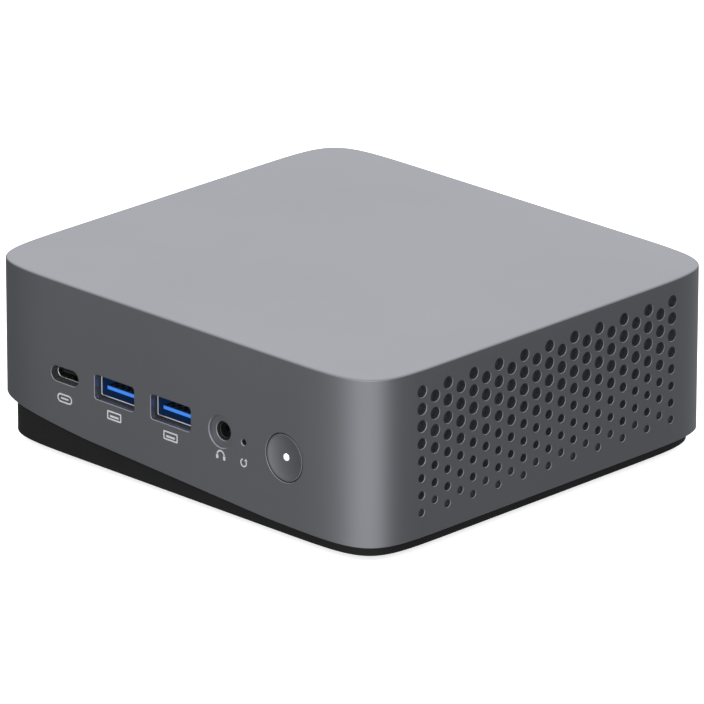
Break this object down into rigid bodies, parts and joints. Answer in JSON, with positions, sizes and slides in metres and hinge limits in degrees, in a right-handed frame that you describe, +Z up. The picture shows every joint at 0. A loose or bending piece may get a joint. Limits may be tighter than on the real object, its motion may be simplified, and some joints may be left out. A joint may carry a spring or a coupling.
{
  "type": "mini pc",
  "caption": "Small square desktop computer: metal shell with vented sides over a black base, front ports, power button, cooler, board and modules inside.",
  "frame": {"origin": "middle of the footprint, on the surface that the feet stand on", "axes": "+X to the right seen from the port side, front face towards -Y, +Z up"},
  "size_m": [0.133, 0.1234, 0.0473],
  "materials": {
    "anodised_shell": "satin anodised, dark grey",
    "base_black": "fine texture",
    "rubber": "matte",
    "dark_steel": "black oxide",
    "steel": "satin",
    "port_steel": "plated",
    "blue_insert": "satin",
    "black_insert": "satin",
    "light": "lit white",
    "board": "solder mask",
    "silicon": "polished die",
    "copper": "bare copper",
    "fin_aluminium": "mill finish"
  },
  "bodies": {
    "chassis": {"antenna": "copper", "antenna_lead": "black_insert", "audio_jack": "black_insert", "base_cover": "base_black", "board_screw_front_left": "steel", "board_screw_front_right": "steel", "board_screw_rear_left": "steel", "board_screw_rear_right": "steel", "case_screw_front_left": "dark_steel", "case_screw_front_right": "dark_steel", "case_screw_rear_left": "dark_steel", "case_screw_rear_right": "dark_steel", "coin_cell": "steel", "coin_cell_holder": "black_insert", "cold_plate": "copper", "dc_inlet": "black_insert", "dc_inlet_pin": "steel", "ethernet_jack": "port_steel", "fan_frame": "black_insert", "fan_lead": "black_insert", "fan_stator": "copper", "foot_front_left": "rubber", "foot_front_right": "rubber", "foot_rear_left": "rubber", "foot_rear_right": "rubber", "hdmi_left_shell": "port_steel", "hdmi_left_tongue": "black_insert", "hdmi_right_shell": "port_steel", "hdmi_right_tongue": "black_insert", "heat_pipe": "copper", "heatsink": "fin_aluminium", "mainboard": "board", "memory_module": "board", "memory_socket": "black_insert", "power_switch": "black_insert", "processor": "silicon", "rear_usb_left_shell": "port_steel", "rear_usb_left_tongue": "blue_insert", "rear_usb_right_shell": "port_steel", "rear_usb_right_tongue": "blue_insert", "reset_switch": "black_insert", "shell": "anodised_shell", "ssd_module": "board", "ssd_screw": "steel", "ssd_socket": "black_insert", "usb_a_left_shell": "port_steel", "usb_a_left_tongue": "blue_insert", "usb_a_right_shell": "port_steel", "usb_a_right_tongue": "blue_insert", "usb_c_riser": "black_insert", "usb_c_shell": "port_steel", "usb_c_tongue": "black_insert", "wifi_card": "board", "wifi_screw": "steel", "wifi_socket": "black_insert"},
    "power_button": {"power_button": "anodised_shell", "power_light_pipe": "light"},
    "power_switch_plunger": {"power_switch_plunger": "black_insert"},
    "reset_plunger": {"reset_plunger": "dark_steel"},
    "fan_rotor": {"fan_rotor": "black_insert"}
  },
  "joints": [
    {"name": "power_press", "type": "slide", "parent": "chassis", "child": "power_button", "axis": [0, 1, 0], "range_m": [0, 0.0005], "stiffness_N_per_m": 3000},
    {"name": "power_switch_press", "type": "slide", "parent": "chassis", "child": "power_switch_plunger", "axis": [0, 1, 0], "range_m": [0, 0.0005]},
    {"name": "reset_press", "type": "slide", "parent": "chassis", "child": "reset_plunger", "axis": [0, 1, 0], "range_m": [0, 0.0003], "stiffness_N_per_m": 1500},
    {"name": "fan_spin", "type": "hinge", "parent": "chassis", "child": "fan_rotor", "pos_m": [-0.021, -0.005, 0.035], "axis": [0, 0, 1], "continuous": true}
  ],
  "couplings": [
    {"joint": "power_switch_press", "follows": "power_press", "ratio": 1}
  ]
}
